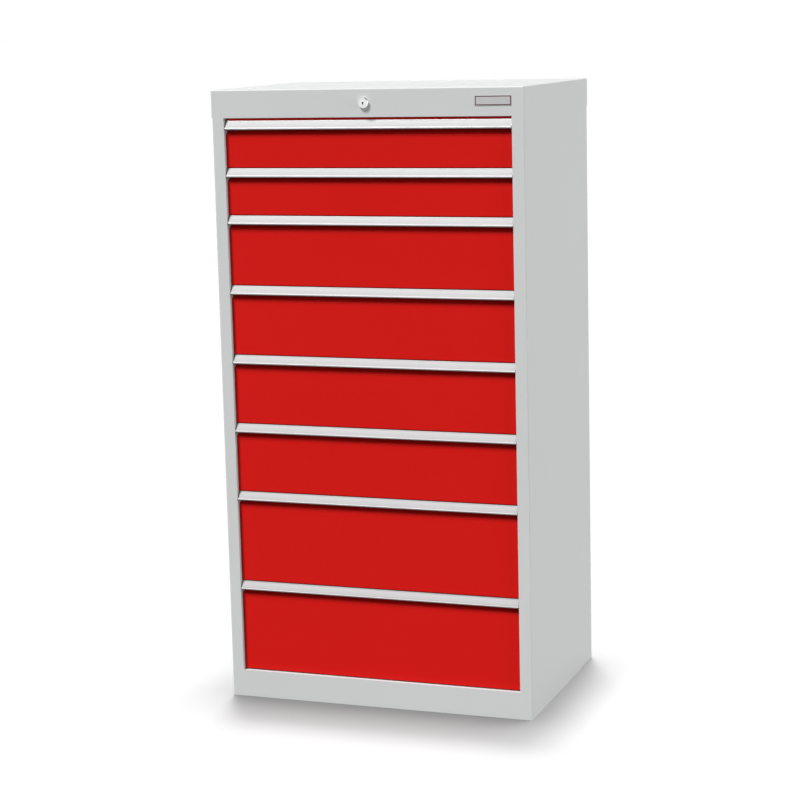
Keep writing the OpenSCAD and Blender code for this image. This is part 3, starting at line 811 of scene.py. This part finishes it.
class CABINET_OT_set_studio(Step):
    """Sets the pale floor, the soft lights and the camera"""

    bl_idname = "cabinet.set_studio"
    bl_label = "Set studio"

    def execute(self, context):
        scene = context.scene
        scene.view_settings.view_transform = "Standard"
        floor = self.add_floor(scene)
        self.add_sky(scene)
        self.add_lights(scene, floor)
        self.add_camera(scene)
        return {"FINISHED"}

    def add_floor(self, scene):
        studio = self.studio
        form = bmesh.new()
        bmesh.ops.create_circle(form, cap_ends=True, segments=FLOOR_POINTS, radius=studio.floor_radius)
        mesh = bpy.data.meshes.new("studio_floor")
        form.to_mesh(mesh)
        form.free()
        matt = studio_floor("studio floor", studio.floor_tone, studio.floor_roughness, studio.floor_glow)
        mesh.materials.append(matt)
        floor = bpy.data.objects.new("studio_floor", mesh)
        floor.visible_diffuse = False
        scene.collection.objects.link(floor)
        return floor

    def add_sky(self, scene):
        """Dim from below, white all round and softer overhead."""
        studio = self.studio
        world = bpy.data.worlds.new("studio sky")
        world.use_nodes = True
        scene.world = world
        sky = Shading(world.node_tree)
        towards = sky.node("ShaderNodeTexCoord", output="Generated")
        height = sky.node("ShaderNodeSeparateXYZ", None, {0: towards}, output="Z")
        glow = sky.node("ShaderNodeBackground", None, {"Color": WHITE, "Strength": studio.ground})
        for strength, fade in ((studio.horizon, HORIZON_FADE), (studio.zenith, ZENITH_FADE)):
            layer = sky.node("ShaderNodeBackground", None, {"Color": WHITE, "Strength": strength})
            reach = {"Value": height, "From Min": fade[0], "From Max": fade[1]}
            share = sky.node("ShaderNodeMapRange", {"interpolation_type": "SMOOTHSTEP"}, reach)
            glow = sky.node("ShaderNodeMixShader", None, {0: share, 1: glow, 2: layer})
        sky.node("ShaderNodeOutputWorld", None, {"Surface": glow})

    def add_lights(self, scene, floor):
        """Lights cabinet and floor apart, and keeps the header's shadow off the sides and the top strip."""
        studio = self.studio
        below = [nodes[name] for name in ("left_side", "right_side", f"{TOP_DRAWER}_handle")]
        below.append(bpy.data.objects[f"{TOP_DRAWER}_label"])
        header = [nodes["top_cover"], nodes["header_rail"]]
        key = (studio.key_from, studio.key_strength, studio.key_spread)
        side = (studio.side_from, studio.side_strength, studio.side_spread)
        rear = (studio.rear_from, studio.rear_strength, studio.rear_spread)
        self.add_light(scene, "key light", *key, "EXCLUDE", [floor, *below])
        under = self.add_light(scene, "key light under the header", *key, "INCLUDE", below)
        under.light_linking.blocker_collection = linked("header shadow", header, "EXCLUDE")
        self.add_light(scene, "side light", *side, "EXCLUDE", [floor])
        self.add_light(scene, "rear light", *rear, "EXCLUDE", [floor]).visible_glossy = False
        for name, share, right, back, spread in FLOOR_LIGHTS:
            towards = (math.tan(math.radians(right)), math.tan(math.radians(back)), 1.0)
            strength = share * studio.floor_strength
            self.add_light(scene, name, towards, strength, math.radians(spread), "INCLUDE", [floor])

    def add_light(self, scene, name, towards, strength, spread, state, pieces):
        """Adds a soft, even light that falls on these pieces alone, or on all but these."""
        lamp = bpy.data.lights.new(name, "SUN")
        lamp.energy = strength
        lamp.angle = spread
        light = bpy.data.objects.new(name, lamp)
        light.rotation_euler = Vector(towards).to_track_quat("Z", "Y").to_euler()
        scene.collection.objects.link(light)
        light.light_linking.receiver_collection = linked(name, pieces, state)
        return light

    def add_camera(self, scene):
        turn, tilt, roll = self.studio.camera_angles
        forward = Vector((
            math.sin(turn) * math.cos(tilt), math.cos(turn) * math.cos(tilt), -math.sin(tilt)
        ))
        level = Vector((math.cos(turn), -math.sin(turn), 0.0))
        above = level.cross(forward)
        right = math.cos(roll) * level + math.sin(roll) * above
        up = math.cos(roll) * above - math.sin(roll) * level
        data = bpy.data.cameras.new("camera")
        data.sensor_width = SENSOR_WIDTH
        data.lens = self.studio.lens
        data.clip_end = 2 * self.studio.floor_radius
        camera = bpy.data.objects.new("camera", data)
        axes = Matrix((right, up, -forward)).transposed().to_4x4()
        camera.matrix_world = Matrix.Translation(self.studio.camera_place) @ axes
        scene.collection.objects.link(camera)
        scene.camera = camera


class CABINET_PT_sidebar(bpy.types.Panel):
    """Lists the cabinet's settings and steps"""

    bl_label = "Drawer cabinet"
    bl_idname = "CABINET_PT_sidebar"
    bl_space_type = "VIEW_3D"
    bl_region_type = "UI"
    bl_category = "Cabinet"

    def draw(self, context):
        scene = context.scene
        for settings in (scene.cabinet_finishes, scene.cabinet_fittings, scene.cabinet_studio):
            box = self.layout.box()
            for name in settings.__annotations__:
                box.prop(settings, name)
        for step in STEPS:
            self.layout.operator(step.bl_idname)


SETTINGS = {
    "cabinet_finishes": CabinetFinishes,
    "cabinet_fittings": CabinetFittings,
    "cabinet_studio": CabinetStudio,
}
STEPS = (
    CABINET_OT_paint_body, CABINET_OT_paint_fronts, CABINET_OT_paint_shells, CABINET_OT_finish_handles,
    CABINET_OT_add_labels, CABINET_OT_finish_steel, CABINET_OT_finish_lock, CABINET_OT_finish_plate,
    CABINET_OT_add_screws, CABINET_OT_set_studio,
)
CLASSES = (*SETTINGS.values(), *STEPS, CABINET_PT_sidebar)


def register():
    for cls in CLASSES:
        bpy.utils.register_class(cls)
    for name, group in SETTINGS.items():
        setattr(bpy.types.Scene, name, PointerProperty(type=group))


def unregister():
    for name in SETTINGS:
        delattr(bpy.types.Scene, name)
    for cls in reversed(CLASSES):
        bpy.utils.unregister_class(cls)


def main():
    register()
    for step in STEPS:
        getattr(bpy.ops.cabinet, step.bl_idname.split(".")[1])()


if __name__ == "__main__":
    main()
